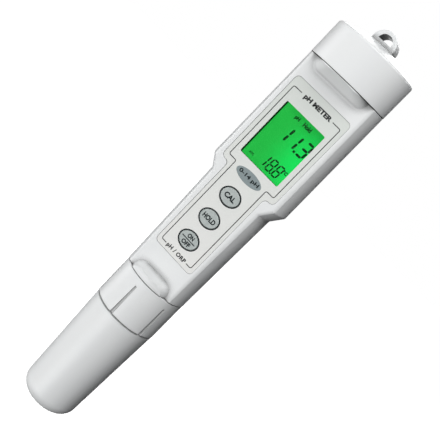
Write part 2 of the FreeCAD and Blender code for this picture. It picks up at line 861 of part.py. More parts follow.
def battery_holder():
    """The insert in the head's open top: wells for two stacks of cells, and the cap's neck."""
    flange_middle = (size.ledge_low + size.housing_high) / 2
    body = upright_oval("holder_body", size.holder_body_half_width, size.holder_body_half_depth,
                        size.holder_low, flange_middle)
    reach = size.head_half_width + past
    limit = box("holder_limit", (-reach, reach), (front_inside + size.holder_front_gap, reach),
                (size.holder_low - past, size.housing_high + past))
    flange = upright_oval("holder_flange", size.holder_flange_half_width, size.holder_flange_half_depth,
                          size.ledge_low, size.housing_high)
    neck = upright_oval("holder_neck", size.holder_neck_half_width, size.holder_neck_half_depth,
                        flange_middle, size.holder_high)
    wells = [cylinder("well_%d" % (side + 1), size.well_radius, size.well_low, size.holder_high + past,
                      x=size.cell_offset * side) for side in (-1, 1)]
    solid = fuse("holder_solid", [common("holder_trimmed", body, limit), flange, neck])
    return sub_part(cut("battery_holder", solid, wells), "battery_holder")


def battery_cap_seal():
    """The flat oval gasket in the seam between the housing and the battery cap."""
    low = size.housing_high
    high = size.housing_high + size.gasket_thick
    half_width = size.seam_half_width - size.gasket_inset
    half_depth = size.head_half_depth - size.gasket_inset
    outside = upright_oval("gasket_outside", half_width, half_depth, low, high)
    hole_width = size.holder_neck_half_width + size.gasket_gap
    hole_depth = size.holder_neck_half_depth + size.gasket_gap
    inside = upright_oval("gasket_inside", hole_width, hole_depth, low - past, high + past)
    return sub_part(cut("battery_cap_seal", outside, [inside]), "battery_cap_seal")


def button_cell(number, side, level):
    """One button cell: a wide can with a smaller terminal on its upper face."""
    low = size.cell_low + size.cell_thick * level
    step = low + size.cell_thick - size.cell_button_thick
    profile = [(0, low), (size.cell_radius, low), (size.cell_radius, step), (size.cell_button_radius, step),
               (size.cell_button_radius, low + size.cell_thick), (0, low + size.cell_thick)]
    node = "button_cell_%d" % number
    return sub_part(turned(node, profile, x=size.cell_offset * side), node)


def leaf(name):
    """A bent contact leaf, seen from the front: flat foot, then a tongue rising to its crest."""
    length = size.leaf_half_length
    thick = size.leaf_thick
    foot = size.well_low
    crest = size.cell_low
    corners = [(-length, foot), (length, foot), (length, foot + thick), (-length + thick * 2, foot + thick),
               (length * 0.5, crest - thick), (length * 0.8, crest - thick * 2.5),
               (length * 0.9, crest - thick * 1.5), (length * 0.5, crest), (-length, foot + thick * 1.2)]
    return front_plate(name, corners, -size.leaf_half_width, size.leaf_half_width)


def battery_contacts():
    """Two leaf contacts, one on the floor of each cell well."""
    leaves = [bind(leaf("cell_leaf_%d" % (side + 1)), x=size.cell_offset * side) for side in (-1, 1)]
    return sub_part(group("battery_contacts", leaves), "battery_contacts")


def battery_cap():
    """The pull-off cap over the cells: oval skirt, low dome, and a lanyard eye on top."""
    skirt = upright_oval("cap_skirt", size.battery_cap_half_width, size.battery_cap_half_depth,
                         size.battery_cap_low, size.battery_cap_rim + size.battery_cap_dome)
    dome = doc.addObject("Part::Ellipsoid", "cap_dome")
    rise = size.battery_cap_dome
    sphere = (size.battery_cap_half_width * size.battery_cap_half_width + rise * rise) / (rise * 2)
    squeeze = size.battery_cap_half_depth / size.battery_cap_half_width
    bind(dome, Radius1=sphere, Radius2=sphere, Radius3=sphere * squeeze,
         z=size.battery_cap_rim + rise - sphere)
    domed = common("cap_domed", skirt, dome)
    eased = rounded("cap_eased", domed, size.battery_cap_rim_round,
                    lambda edge: level_at(edge, size.battery_cap_rim))
    bore = upright_oval("cap_bore", size.battery_cap_bore_half_width, size.battery_cap_bore_half_depth,
                        size.battery_cap_low - past, size.battery_cap_ceiling)
    solid = fuse("cap_solid", [eased, lanyard_eye()])
    return sub_part(cut("battery_cap", solid, [bore, eye_hole()]), "battery_cap")


def lanyard_eye():
    """The arched eye on the dome, a short tunnel from front to back."""
    half = size.eye_radius
    depth = size.eye_half_depth
    legs = box("eye_legs", (-half, half), (-depth, depth), (size.battery_cap_rim + past, size.eye_height))
    arch = bar("eye_arch", half, 0, -depth, depth, size.eye_height)
    eye = fuse("eye_solid", [legs, arch])
    eye.Refine = True
    return rounded("eye_eased", eye, size.eye_round,
                   lambda edge: isinstance(edge.Curve, Part.Circle) and abs(edge.BoundBox.YLength) < 1e-4)


def eye_hole():
    """The half-moon hole through the eye."""
    reach = size.eye_half_depth + past
    round_bar = bar("eye_bar", size.eye_hole_radius, 0, -reach, reach, size.eye_hole_low)
    above = box("eye_above", (-size.eye_radius, size.eye_radius), (-reach, reach),
                (size.eye_hole_low, size.eye_hole_low + size.eye_radius))
    return common("eye_hole", round_bar, above)


def cell_bridge():
    """The plate under the battery cap's ceiling; it dips to touch the two stacks of cells."""
    ceiling = size.battery_cap_ceiling
    thick = size.bridge_thick
    low = cell_high + size.bridge_gap
    stack = size.cell_offset
    foot = size.bridge_foot_half
    bend = size.bridge_bend
    over = size.bridge_bend_over
    length = stack + size.bridge_over_cell
    underside = [(stack - foot - bend, ceiling - thick), (stack - foot, low), (stack + foot, low),
                 (length - bend, ceiling - thick), (length, ceiling - thick), (length, ceiling)]
    topside = [(length - bend - over, ceiling), (stack + foot - over, low + thick),
               (stack - foot + over, low + thick), (stack - foot - bend + over, ceiling)]
    right = underside + topside
    left = [(-across, height) for across, height in reversed(right)]
    half = size.bridge_half_width
    return sub_part(front_plate("cell_bridge", right + left, -half, half), "cell_bridge")


# ---------------------------------------------------------------- electrode module

def seal_groove(height, radius):
    """Corners of a square notch round a turned body, from its outer radius, going up."""
    low = height - size.seal_radius
    high = height + size.seal_radius
    floor = radius - size.seal_groove_depth
    return [(radius, low), (floor, low), (floor, high), (radius, high)]


def electrode_barrel():
    """The module's body: sealed head in the neck, flange, spigot for the cap, and slim stem."""
    profile = [(size.stem_bore_radius, size.stem_low), (size.stem_radius, size.stem_low),
               (size.stem_radius, size.module_spigot_low),
               (size.module_spigot_radius, size.module_spigot_low)]
    profile += seal_groove(size.spigot_seal_height, size.module_spigot_radius)
    profile += [(size.module_spigot_radius, size.module_flange_low),
                (size.module_flange_radius, size.module_flange_low),
                (size.module_flange_radius, size.module_flange_high),
                (size.module_head_radius, size.module_flange_high)]
    profile += seal_groove(size.head_seal_height, size.module_head_radius)
    profile += [(size.module_head_radius, size.module_high), (0, size.module_high),
                (0, size.module_bore_high), (size.stem_bore_radius, size.module_bore_high)]
    return sub_part(turned("electrode_barrel", profile), "electrode_barrel")


def round_seal(node, height, radius):
    """A round sealing ring that stands just proud of the groove it lies in."""
    thing = doc.addObject("Part::Torus", node)
    bind(thing, Radius1=radius + size.seal_proud - size.seal_radius, Radius2=size.seal_radius, z=height)
    return sub_part(thing, node)


def electrode_guard():
    """The slotted tube that shields the sensor tips."""
    ring = turned("guard_ring", [(size.stem_radius - size.guard_wall, size.guard_low),
                                 (size.stem_radius, size.guard_low), (size.stem_radius, size.stem_low),
                                 (size.stem_radius - size.guard_wall, size.stem_low)])
    half = size.guard_slot_half_width
    reach = size.stem_radius + past
    heights = (size.guard_slot_low, size.guard_slot_high)
    across = box("guard_slot_x", (-reach, reach), (-half, half), heights)
    along = box("guard_slot_y", (-half, half), (-reach, reach), heights)
    return sub_part(cut("electrode_guard", ring, [across, along]), "electrode_guard")


def stem_inserts():
    """(name, x, y, radius) of everything that stands in the sealing plug of the stem."""
    return [
        ("ph_glass", -size.bulb_offset, 0, size.glass_stem_radius),
        ("redox_pin", size.probe_offset, -size.probe_side, size.redox_radius),
        ("temperature_probe", size.probe_offset, size.probe_side, size.probe_radius),
        ("reference_junction", 0, size.junction_offset, size.junction_radius),
    ]


def sensor_plug():
    """The plug cast in the end of the stem, holding the sensors."""
    disc = cylinder("plug_disc", size.stem_bore_radius, size.stem_low, size.sensor_plug_high)
    holes = [cylinder("plug_hole_" + name, radius, size.stem_low - past, size.sensor_plug_high + past,
                      x=x, y=y)
             for name, x, y, radius in stem_inserts()]
    return sub_part(cut("sensor_plug", disc, holes), "sensor_plug")


def ph_glass():
    """The hollow glass: a thin bulb below a tube that runs up inside the stem."""
    wall = size.bulb_wall
    bulb = doc.addObject("Part::Sphere", "bulb")
    bind(bulb, Radius=size.bulb_radius, x=-size.bulb_offset, z=size.bulb_height)
    tube = cylinder("glass_tube", size.glass_stem_radius, size.bulb_height, size.glass_stem_high,
                    x=-size.bulb_offset)
    hollow = doc.addObject("Part::Sphere", "bulb_hollow")
    bind(hollow, Radius=size.bulb_radius - wall, x=-size.bulb_offset, z=size.bulb_height)
    bore = cylinder("glass_bore", size.glass_stem_radius - wall, size.bulb_height,
                    size.glass_stem_high + past, x=-size.bulb_offset)
    return sub_part(cut("ph_glass", fuse("glass_solid", [bulb, tube]), [hollow, bore]), "ph_glass")


def rods():
    """The slim straight pieces of the module: probe, pin, junction and the two silver wires."""
    places = {name: (x, y, radius) for name, x, y, radius in stem_inserts()}
    above_plug = size.sensor_plug_high + past
    lengths = {"redox_pin": (size.probe_low, above_plug),
               "temperature_probe": (size.probe_low, size.probe_high),
               "reference_junction": (size.stem_low - size.junction_proud, size.sensor_plug_high)}
    for node, (low, high) in lengths.items():
        x, y, radius = places[node]
        sub_part(cylinder(node, radius, low, high, x=x, y=y), node)
    top = size.module_bore_high
    sub_part(cylinder("measuring_wire", size.wire_radius, size.bulb_height, top, x=-size.bulb_offset),
             "measuring_wire")
    sub_part(cylinder("reference_wire", size.wire_radius, above_plug, top, x=size.reference_wire_x,
                      y=size.reference_wire_y), "reference_wire")


def pin_places():
    """The (x, y) places of the module's contact pins, evenly round a circle."""
    count = SIZES["pin_count"]
    turns = [2 * math.pi * number / count for number in range(count)]
    reach = size.pin_circle_radius
    return [(reach * math.cos(turn), reach * math.sin(turn)) for turn in turns]


def contact_pins():
    """Gilt pins on a disc on top of the module; they enter the housing's socket."""
    disc_high = size.module_high + size.contact_disc_thick
    disc = cylinder("pin_disc", size.contact_disc_radius, size.module_high, disc_high)
    pins = [cylinder("pin_%d" % number, size.pin_radius, size.module_high, size.pin_high, x=x, y=y)
            for number, (x, y) in enumerate(pin_places())]
    return sub_part(fuse("contact_pins", [disc] + pins), "contact_pins")


def module_socket():
    """The socket fixed in the housing that receives the module's pins."""
    block = cylinder("socket_block", size.socket_bore_radius, size.socket_low, size.chamber_low)
    holes = [cylinder("socket_hole_%d" % number, size.pin_hole_radius, size.socket_low - past,
                      size.pin_high + size.pin_radius, x=x, y=y)
             for number, (x, y) in enumerate(pin_places())]
    return sub_part(cut("module_socket", block, holes), "module_socket")


# ---------------------------------------------------------------- collar and protective cap

def collar_ring():
    """The locking ring: a lip under the module's flange, and six tapering grip grooves."""
    edge = size.collar_edge
    profile = [(size.collar_lip_radius, size.collar_low), (size.collar_radius - edge, size.collar_low),
               (size.collar_radius, size.collar_low + edge), (size.collar_radius, size.collar_high - edge),
               (size.collar_radius - edge, size.collar_high), (size.collar_bore_radius, size.collar_high),
               (size.collar_bore_radius, size.collar_lip_high),
               (size.collar_lip_radius, size.collar_lip_high)]
    body = turned("collar_ring", profile)
    groove = body.newObject("PartDesign::SubtractiveCone", "grip_groove")
    groove.AttachmentSupport = [(origin_item(body, "XY_Plane"), "")]
    groove.MapMode = "FlatFace"
    turn = math.radians(SIZES["grip_groove_turn"])
    bind(groove, Radius1=size.grip_groove_low_radius, Radius2=size.grip_groove_high_radius,
         Height=size.grip_groove_high - size.collar_low)
    groove.setExpression(".AttachmentOffset.Base.x", (size.collar_radius * math.cos(turn)).text)
    groove.setExpression(".AttachmentOffset.Base.y", (size.collar_radius * math.sin(turn)).text)
    groove.setExpression(".AttachmentOffset.Base.z", size.collar_low.text)
    pattern = body.newObject("PartDesign::PolarPattern", "grip_grooves")
    pattern.Originals = [groove]
    pattern.Axis = (origin_item(body, "Z_Axis"), [""])
    pattern.Angle = 360.0
    pattern.setExpression("Occurrences", size.grip_groove_count.text)
    body.Tip = pattern
    return sub_part(body, "collar_ring")


def cap_inside(height):
    """The protective cap's inner radius at a height."""
    spread = (size.cap_mouth_radius - size.cap_base_radius) / size.cap_length
    return size.cap_base_radius + spread * height - size.cap_wall


def protective_cap():
    """The tapered cap that covers and wets the electrode, rounded at its base."""
    chamfer = size.cap_lip_chamfer
    mouth = size.cap_mouth_radius
    profile = [(0, 0), (size.cap_base_radius, 0), (mouth, size.cap_length - chamfer),
               (mouth - chamfer, size.cap_length), (cap_inside(size.cap_length), size.cap_length),
               (cap_inside(size.cap_floor), size.cap_floor), (0, size.cap_floor)]
    body = turned("protective_cap", profile)
    outer = size.cap_base_radius.value
    body_fillet(body, size.cap_base_round,
                lambda edge: level_at(edge, as_size(0)) and edge.BoundBox.XMax > outer - 0.1)
    body_fillet(body, size.cap_base_round - size.cap_wall * 0.8, lambda edge: level_at(edge, size.cap_floor))
    return sub_part(body, "protective_cap")


def cap_bush():
    """The bush pressed in the cap's mouth; it seals on the module's spigot."""
    gap = size.bush_gap
    profile = [(size.bush_bore_radius, size.bush_low), (cap_inside(size.bush_low) - gap, size.bush_low),
               (cap_inside(size.bush_high) - gap, size.bush_high), (size.bush_bore_radius, size.bush_high)]
    return sub_part(turned("cap_bush", profile), "cap_bush")


def storage_sponge():
    """The round sponge on the cap's floor that keeps the bulb wet."""
    edge = size.sponge_edge
    profile = [(0, size.cap_floor), (size.sponge_foot_radius, size.cap_floor),
               (size.sponge_radius, size.cap_floor + edge), (size.sponge_radius, size.sponge_high - edge),
               (size.sponge_radius - edge, size.sponge_high),
               (size.sponge_dish_radius, size.sponge_high),
               (0, size.sponge_high - size.sponge_dish_depth)]
    return sub_part(turned("storage_sponge", profile), "storage_sponge")


# ---------------------------------------------------------------- assembly

housing()
face_label()
display_lens()
display_bezel()
display_glass()
backlight_panel()
contact_strip()
for key_node, key_height in zip(("key_on_off", "key_hold", "key_cal"), key_heights()):
    key(key_node, key_height)
keypad_mat()
tactile_switches()
main_board()
board_chips()
board_carrier()
board_screws()
battery_holder()
battery_cap_seal()
for cell_number, (cell_side, cell_level) in enumerate([(-1, 0), (-1, 1), (1, 0), (1, 1)], start=1):
    button_cell(cell_number, cell_side, cell_level)
battery_contacts()
battery_cap()
cell_bridge()
electrode_barrel()
round_seal("module_seal", size.head_seal_height, size.module_head_radius)
round_seal("spigot_seal", size.spigot_seal_height, size.module_spigot_radius)
electrode_guard()
sensor_plug()
ph_glass()
rods()
contact_pins()
module_socket()
collar_ring()
protective_cap()
cap_bush()
storage_sponge()

doc.recompute()

failed = [thing.Name for thing in doc.Objects if "Invalid" in thing.State or "Error" in thing.State]
if failed:
    raise RuntimeError("failed objects: " + ", ".join(failed))
for piece in sub_parts:
    if piece.Shape.isNull() or not piece.Shape.isValid() or not piece.Shape.Solids:
        raise RuntimeError("bad shape: " + piece.Label)

os.makedirs("parts", exist_ok=True)
for piece in sub_parts:
    piece.Shape.exportStep("parts/%s.step" % piece.Label)
    print("%-20s %d solids %10.2f mm3" % (piece.Label, len(piece.Shape.Solids), piece.Shape.Volume))
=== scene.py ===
"""Looks of the pocket pH tester: materials, printing, display digits, light and camera."""
import json
import math

import bmesh
import bpy
from mathutils import Matrix, Vector


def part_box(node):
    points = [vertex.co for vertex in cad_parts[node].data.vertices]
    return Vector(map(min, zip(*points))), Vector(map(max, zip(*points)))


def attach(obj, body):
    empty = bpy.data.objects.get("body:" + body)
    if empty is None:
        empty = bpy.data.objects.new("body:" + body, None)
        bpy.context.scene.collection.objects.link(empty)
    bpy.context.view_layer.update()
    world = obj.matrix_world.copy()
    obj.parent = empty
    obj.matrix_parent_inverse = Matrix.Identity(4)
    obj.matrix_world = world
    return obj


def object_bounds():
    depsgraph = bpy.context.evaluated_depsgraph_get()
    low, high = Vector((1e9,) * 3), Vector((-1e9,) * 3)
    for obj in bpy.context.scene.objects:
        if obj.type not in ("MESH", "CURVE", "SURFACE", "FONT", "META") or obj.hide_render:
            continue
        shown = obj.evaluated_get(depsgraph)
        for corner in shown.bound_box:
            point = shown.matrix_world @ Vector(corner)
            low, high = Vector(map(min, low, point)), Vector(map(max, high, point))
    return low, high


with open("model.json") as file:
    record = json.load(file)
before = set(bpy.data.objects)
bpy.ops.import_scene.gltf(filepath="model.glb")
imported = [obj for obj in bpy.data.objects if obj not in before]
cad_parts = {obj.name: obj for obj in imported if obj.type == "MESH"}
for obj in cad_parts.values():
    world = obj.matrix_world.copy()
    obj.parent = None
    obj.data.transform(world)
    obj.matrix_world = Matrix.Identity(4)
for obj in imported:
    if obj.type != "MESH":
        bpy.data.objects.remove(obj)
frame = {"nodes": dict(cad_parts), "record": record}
cad_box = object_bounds()

MM = 0.001
FULLY_SHARP = 0.75        # cosine between the true and the eased normal at a fully sharp edge
FULLY_SHADED = 0.7        # share of open surroundings at which a corner is fully shaded

# The sockets of a Mix node that mixes colours: the ones between them are for other kinds of value.
MIX_SHARE, MIX_FIRST, MIX_SECOND, MIX_RESULT = 0, 6, 7, 2


# ---------------------------------------------------------------- material helpers

class Look:
    """A procedural material: one Principled shader, with pattern nodes over object coordinates."""

    def __init__(self, name, **sockets):
        self.material = bpy.data.materials.new(name)
        self.material.use_nodes = True
        self.tree = self.material.node_tree
        self.shader = self.tree.nodes["Principled BSDF"]
        for socket, value in sockets.items():
            self.set(socket.replace("_", " "), value)
        self.place = self.add("ShaderNodeTexCoord").outputs["Object"]

    def add(self, kind, inputs=None, **settings):
        """A node with its settings, and inputs given by name or number as values or outputs."""
        node = self.tree.nodes.new(kind)
        for name, value in settings.items():
            setattr(node, name, value)
        for socket, value in (inputs or {}).items():
            self.plug(node.inputs[socket], value)
        return node

    def plug(self, socket, value):
        if isinstance(value, bpy.types.NodeSocket):
            self.tree.links.new(value, socket)
        elif hasattr(value, "__len__") and len(value) == 3 and socket.type == "RGBA":
            socket.default_value = (*value, 1.0)
        else:
            socket.default_value = value

    def set(self, socket, value):
        self.plug(self.shader.inputs[socket], value)
        return self

    def stretched(self, x, y, z):
        """The object coordinates times a factor on each axis: under 1 draws a pattern out along it."""
        scale = self.add("ShaderNodeVectorMath", {0: self.place, 1: (x, y, z)}, operation="MULTIPLY")
        return scale.outputs[0]

    def noise(self, size, detail=2.0, rough=0.5, place=None):
        """Soft noise whose features are about size metres across."""
        inputs = {"Vector": place or self.place, "Scale": 1 / size, "Detail": detail, "Roughness": rough}
        return self.add("ShaderNodeTexNoise", inputs).outputs["Fac"]

    def cells(self, size):
        """The distance to the nearest of points scattered about size metres apart."""
        inputs = {"Vector": self.place, "Scale": 1 / size}
        return self.add("ShaderNodeTexVoronoi", inputs).outputs["Distance"]

    def part(self, axis):
        """One coordinate of the place, in metres."""
        return self.add("ShaderNodeSeparateXYZ", {0: self.place}).outputs[axis]

    def maths(self, operation, *values):
        """One number worked out from others."""
        return self.add("ShaderNodeMath", dict(enumerate(values)), operation=operation).outputs[0]

    def spread(self, value, low, high, to_low=0.0, to_high=1.0, smooth=False):
        """Value mapped from low..high to to_low..to_high, and held there outside."""
        inputs = {"Value": value, "From Min": low, "From Max": high, "To Min": to_low, "To Max": to_high}
        kind = "SMOOTHSTEP" if smooth else "LINEAR"
        return self.add("ShaderNodeMapRange", inputs, interpolation_type=kind).outputs["Result"]

    def blend(self, share, first, second):
        """A colour between two others: the first at share 0, the second at share 1."""
        inputs = {MIX_SHARE: share, MIX_FIRST: first, MIX_SECOND: second}
        return self.add("ShaderNodeMix", inputs, data_type="RGBA").outputs[MIX_RESULT]

    def eased_normal(self, radius):
        """The surface normal with sharp edges softened over a radius."""
        return self.add("ShaderNodeBevel", {"Radius": radius}, samples=4).outputs["Normal"]

    def edges(self, radius):
        """1 along sharp edges and 0 elsewhere."""
        normals = {0: self.add("ShaderNodeNewGeometry").outputs["Normal"], 1: self.eased_normal(radius)}
        likeness = self.add("ShaderNodeVectorMath", normals, operation="DOT_PRODUCT").outputs["Value"]
        return self.spread(likeness, 1.0, FULLY_SHARP)

    def painted_corner_shade(self, reach):
        """1 in the open, falling to 0 deep in corners and seams: a mask for painted shade where light is
        blocked there.
        """
        open_share = self.add("ShaderNodeAmbientOcclusion", {"Distance": reach}, samples=6).outputs["AO"]
        return self.spread(open_share, FULLY_SHADED, 1.0)

    def bump(self, height, depth, normal=None):
        """A normal for a height pattern that is depth metres deep."""
        inputs = {"Height": height, "Distance": depth, "Strength": 1.0}
        if normal is not None:
            inputs["Normal"] = normal
        return self.add("ShaderNodeBump", inputs).outputs["Normal"]


# ---------------------------------------------------------------- materials

def toned(colour, factor, lift=0.0):
    """A colour made darker or paler: each channel times a factor, plus a lift."""
    return tuple(channel * factor + lift for channel in colour)


def moulded_plastic(name, colour, tint, roughness=0.36):
    """Injection-moulded plastic: a fine spark-etched grain, faint flow marks, paler rubbed edges, and
    painted shade darkening its corners and seams.
    """
    look = Look(name, IOR=1.5)
    flow = look.noise(14 * MM, 3, 0.5, look.stretched(1, 1, 0.35))
    worn = look.edges(0.35 * MM)
    base = look.blend(look.spread(flow, 0.3, 0.7), colour, tint)
    rubbed = look.blend(look.maths("MULTIPLY", worn, 0.35), base, toned(colour, 1.06))
    # Painted shade: the colour falls to about half deep in corners and seams, as if light were blocked
    # there.
    look.set("Base Color", look.blend(look.painted_corner_shade(3 * MM), toned(colour, 0.48), rubbed))
    smear = look.noise(5 * MM, 4, 0.6)
    matt = look.maths("MULTIPLY_ADD", smear, 0.08, roughness - 0.04)
    look.set("Roughness", look.maths("SUBTRACT", matt, look.maths("MULTIPLY", worn, 0.08)))
    waves = look.bump(look.noise(9 * MM, 1), 0.02 * MM, look.eased_normal(0.25 * MM))
    grain = look.noise(0.22 * MM, 2, 0.6)
    look.set("Normal", look.bump(grain, 0.003 * MM, waves))
    return look.material


def label_film():
    """The label: silvery printed film with a fine sparkle, paler and warmer towards the keys."""
    low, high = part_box("face_label")
    look = Look("label_film", IOR=1.5)
    height = look.spread(look.part(2), low.z, high.z)
    drift = look.maths("ADD", height, look.spread(look.noise(9 * MM, 2), 0, 1, -0.2, 0.2))
    base = look.blend(drift, (0.77, 0.768, 0.748), (0.645, 0.68, 0.642))
    sparkle = look.spread(look.noise(0.16 * MM, 1), 0.35, 0.65)
    look.set("Base Color", look.blend(look.maths("MULTIPLY", sparkle, 0.3), base, (0.80, 0.81, 0.81)))
    look.set("Roughness", look.spread(sparkle, 0, 1, 0.42, 0.3))
    look.set("Normal", look.bump(sparkle, 0.002 * MM, look.eased_normal(0.06 * MM)))
    return look.material


def printed_ink(name, colour, roughness=0.4, glow=(0, 0, 0)):
    """Screen-printed ink: nearly flat colour with slight unevenness, and any light that comes through it."""
    look = Look(name, IOR=1.35, Emission_Color=glow, Emission_Strength=1.0)
    uneven = look.noise(0.5 * MM, 3, 0.6)
    thin = toned(colour, 0.8, 0.012)
    look.set("Base Color", look.blend(look.spread(uneven, 0.35, 0.75), colour, thin))
    look.set("Roughness", look.spread(uneven, 0, 1, roughness - 0.08, roughness + 0.1))
    look.set("Normal", look.bump(uneven, 0.002 * MM))
    return look.material


def silicone(name, colour, tint):
    """Soft satin rubber with a dusting of fine specks."""
    look = Look(name, IOR=1.42, Sheen_Weight=0.15, Sheen_Roughness=0.4)
    cloud = look.noise(1.6 * MM, 3, 0.6)
    specks = look.spread(look.noise(0.12 * MM, 1), 0.4, 0.7)
    base = look.blend(look.spread(cloud, 0.3, 0.7), colour, tint)
    look.set("Base Color", look.blend(look.maths("MULTIPLY", specks, 0.25), base, tint))
    look.set("Roughness", look.spread(cloud, 0, 1, 0.37, 0.55))
    look.set("Normal", look.bump(specks, 0.003 * MM, look.eased_normal(0.2 * MM)))
    return look.material


def clear_window():
    """Clear acrylic with faint wiping marks."""
    look = Look("clear_window", IOR=1.49, Transmission_Weight=1.0, Base_Color=(0.97, 1.0, 0.98))
    marks = look.noise(0.8 * MM, 4, 0.7, look.stretched(1, 1, 0.12))
    look.set("Roughness", look.spread(marks, 0.45, 0.8, 0.0, 0.05))
    return look.material


def display_cell():
    """The liquid-crystal cell: green backlight, brighter where the lamp sits at the right."""
    low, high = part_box("display_lens")
    look = Look("display_cell", IOR=1.5, Roughness=0.16)
    across = look.spread(look.part(0), low.x, high.x)
    up = look.spread(look.part(2), low.z, high.z)
    lamp_across, lamp_up = 0.98, 0.42        # where the lamp is, as shares of the width and height
    beside = look.maths("SUBTRACT", across, lamp_across)
    above = look.maths("MULTIPLY", look.maths("SUBTRACT", up, lamp_up), 0.85)
    offset = look.add("ShaderNodeCombineXYZ", {0: beside, 1: above}).outputs[0]
    far = look.add("ShaderNodeVectorMath", {0: offset}, operation="LENGTH").outputs["Value"]
    mottle = look.spread(look.noise(2.2 * MM, 3), 0, 1, -0.1, 0.1)
    glow = look.spread(look.maths("ADD", far, mottle), 0.0, 0.75, 1.0, 0.0, smooth=True)
    green = look.blend(glow, (0.018, 0.50, 0.062), (0.010, 0.78, 0.11))
    corner = look.maths("ADD", up, look.maths("MULTIPLY", across, 0.25))
    dim = look.spread(corner, 0.85, 1.25, 1.0, 0.72, smooth=True)
    look.set("Base Color", (0.01, 0.10, 0.02))
    look.set("Emission Color", green)
    look.set("Emission Strength", dim)
    return look.material


def light_guide():
    """The milky light guide, with its fine scatter of printed dots."""
    look = Look("light_guide", IOR=1.5, Roughness=0.35)
    dots = look.spread(look.cells(0.5 * MM), 0.1, 0.25)
    look.set("Base Color", look.blend(dots, (0.95, 1.0, 0.95), (0.72, 0.92, 0.74)))
    look.set("Normal", look.bump(dots, 0.01 * MM))
    return look.material


def circuit_board():
    """Solder mask over glass cloth, with copper tracks showing through as paler lines."""
    look = Look("circuit_board", IOR=1.5, Coat_Weight=0.3, Coat_Roughness=0.15)
    upright = {"Vector": look.place, "Rotation": (math.pi / 2, 0, 0)}
    pattern = {"Vector": look.add("ShaderNodeMapping", upright).outputs[0], "Scale": 1 / (6 * MM),
               "Mortar Size": 0.035, "Mortar Smooth": 0.1, "Brick Width": 1.3, "Row Height": 0.45}
    tracks = look.add("ShaderNodeTexBrick", pattern).outputs["Fac"]
    cloth = look.noise(0.4 * MM, 2, 0.6, look.stretched(1, 1, 3))
    mask = look.blend(look.spread(cloth, 0.35, 0.65), (0.015, 0.12, 0.045), (0.02, 0.16, 0.06))
    look.set("Base Color", look.blend(tracks, mask, (0.05, 0.30, 0.12)))
    look.set("Roughness", look.spread(cloth, 0, 1, 0.3, 0.45))
    look.set("Normal", look.bump(tracks, 0.03 * MM))
    return look.material


def brushed_metal(name, colour, roughness=0.28):
    """Drawn or plated metal with fine lines one way, and duller fingerprints."""
    look = Look(name, Metallic=1.0)
    lines = look.noise(0.25 * MM, 4, 0.7, look.stretched(1, 1, 8))
    prints = look.noise(2.5 * MM, 4, 0.6)
    look.set("Base Color", look.blend(look.spread(prints, 0.35, 0.75), colour, toned(colour, 0.72)))
    marks = look.maths("ADD", lines, prints)
    look.set("Roughness", look.spread(marks, 0.6, 1.4, roughness - 0.1, roughness + 0.14))
    look.set("Normal", look.bump(lines, 0.004 * MM, look.eased_normal(0.15 * MM)))
    return look.material


def smooth_rubber(name, colour):
    """Black seal rubber with a light bloom."""
    look = Look(name, IOR=1.5)
    bloom = look.noise(1.5 * MM, 4, 0.65)
    dusty = toned(colour, 2.2, 0.01)
    look.set("Base Color", look.blend(look.spread(bloom, 0.45, 0.8), colour, dusty))
    look.set("Roughness", look.spread(bloom, 0, 1, 0.38, 0.62))
    look.set("Normal", look.bump(look.noise(0.15 * MM, 2), 0.004 * MM))
    return look.material


def thin_glass():
    """Laboratory glass with faint drawing lines."""
    look = Look("thin_glass", IOR=1.52, Transmission_Weight=1.0, Base_Color=(0.93, 0.98, 0.99))
    lines = look.noise(0.6 * MM, 2, 0.5, look.stretched(1, 1, 0.1))
    look.set("Roughness", look.spread(lines, 0.4, 0.8, 0.0, 0.06))
    return look.material


def porous_ceramic():
    """Unglazed white ceramic, darker in its fine pores."""
    look = Look("porous_ceramic", IOR=1.5)
    pores = look.spread(look.cells(0.12 * MM), 0.0, 0.5)
    look.set("Base Color", look.blend(pores, (0.62, 0.60, 0.54), (0.90, 0.88, 0.82)))
    look.set("Roughness", look.spread(pores, 0, 1, 0.9, 0.65))
    look.set("Normal", look.bump(pores, 0.03 * MM))
    return look.material


def open_sponge():
    """Cellulose sponge: a foam of holes of two sizes."""
    look = Look("open_sponge", IOR=1.4, Sheen_Weight=0.2)
    coarse = look.spread(look.cells(0.9 * MM), 0.05, 0.45)
    fine = look.spread(look.cells(0.3 * MM), 0.05, 0.4)
    foam = look.maths("MULTIPLY", coarse, look.spread(fine, 0, 1, 0.5, 1.0))
    look.set("Base Color", look.blend(foam, (0.30, 0.22, 0.05), (0.78, 0.66, 0.26)))
    look.set("Roughness", look.spread(foam, 0, 1, 1.0, 0.8))
    look.set("Normal", look.bump(foam, 0.25 * MM))
    return look.material


def moulded_epoxy():
    """Matte black chip epoxy with its fine sanded texture."""
    look = Look("moulded_epoxy", IOR=1.5)
    sand = look.noise(0.08 * MM, 2, 0.7)
    look.set("Base Color", look.blend(sand, (0.012, 0.012, 0.014), (0.035, 0.035, 0.04)))
    look.set("Roughness", look.spread(sand, 0, 1, 0.5, 0.75))
    look.set("Normal", look.bump(sand, 0.006 * MM, look.eased_normal(0.1 * MM)))
    return look.material


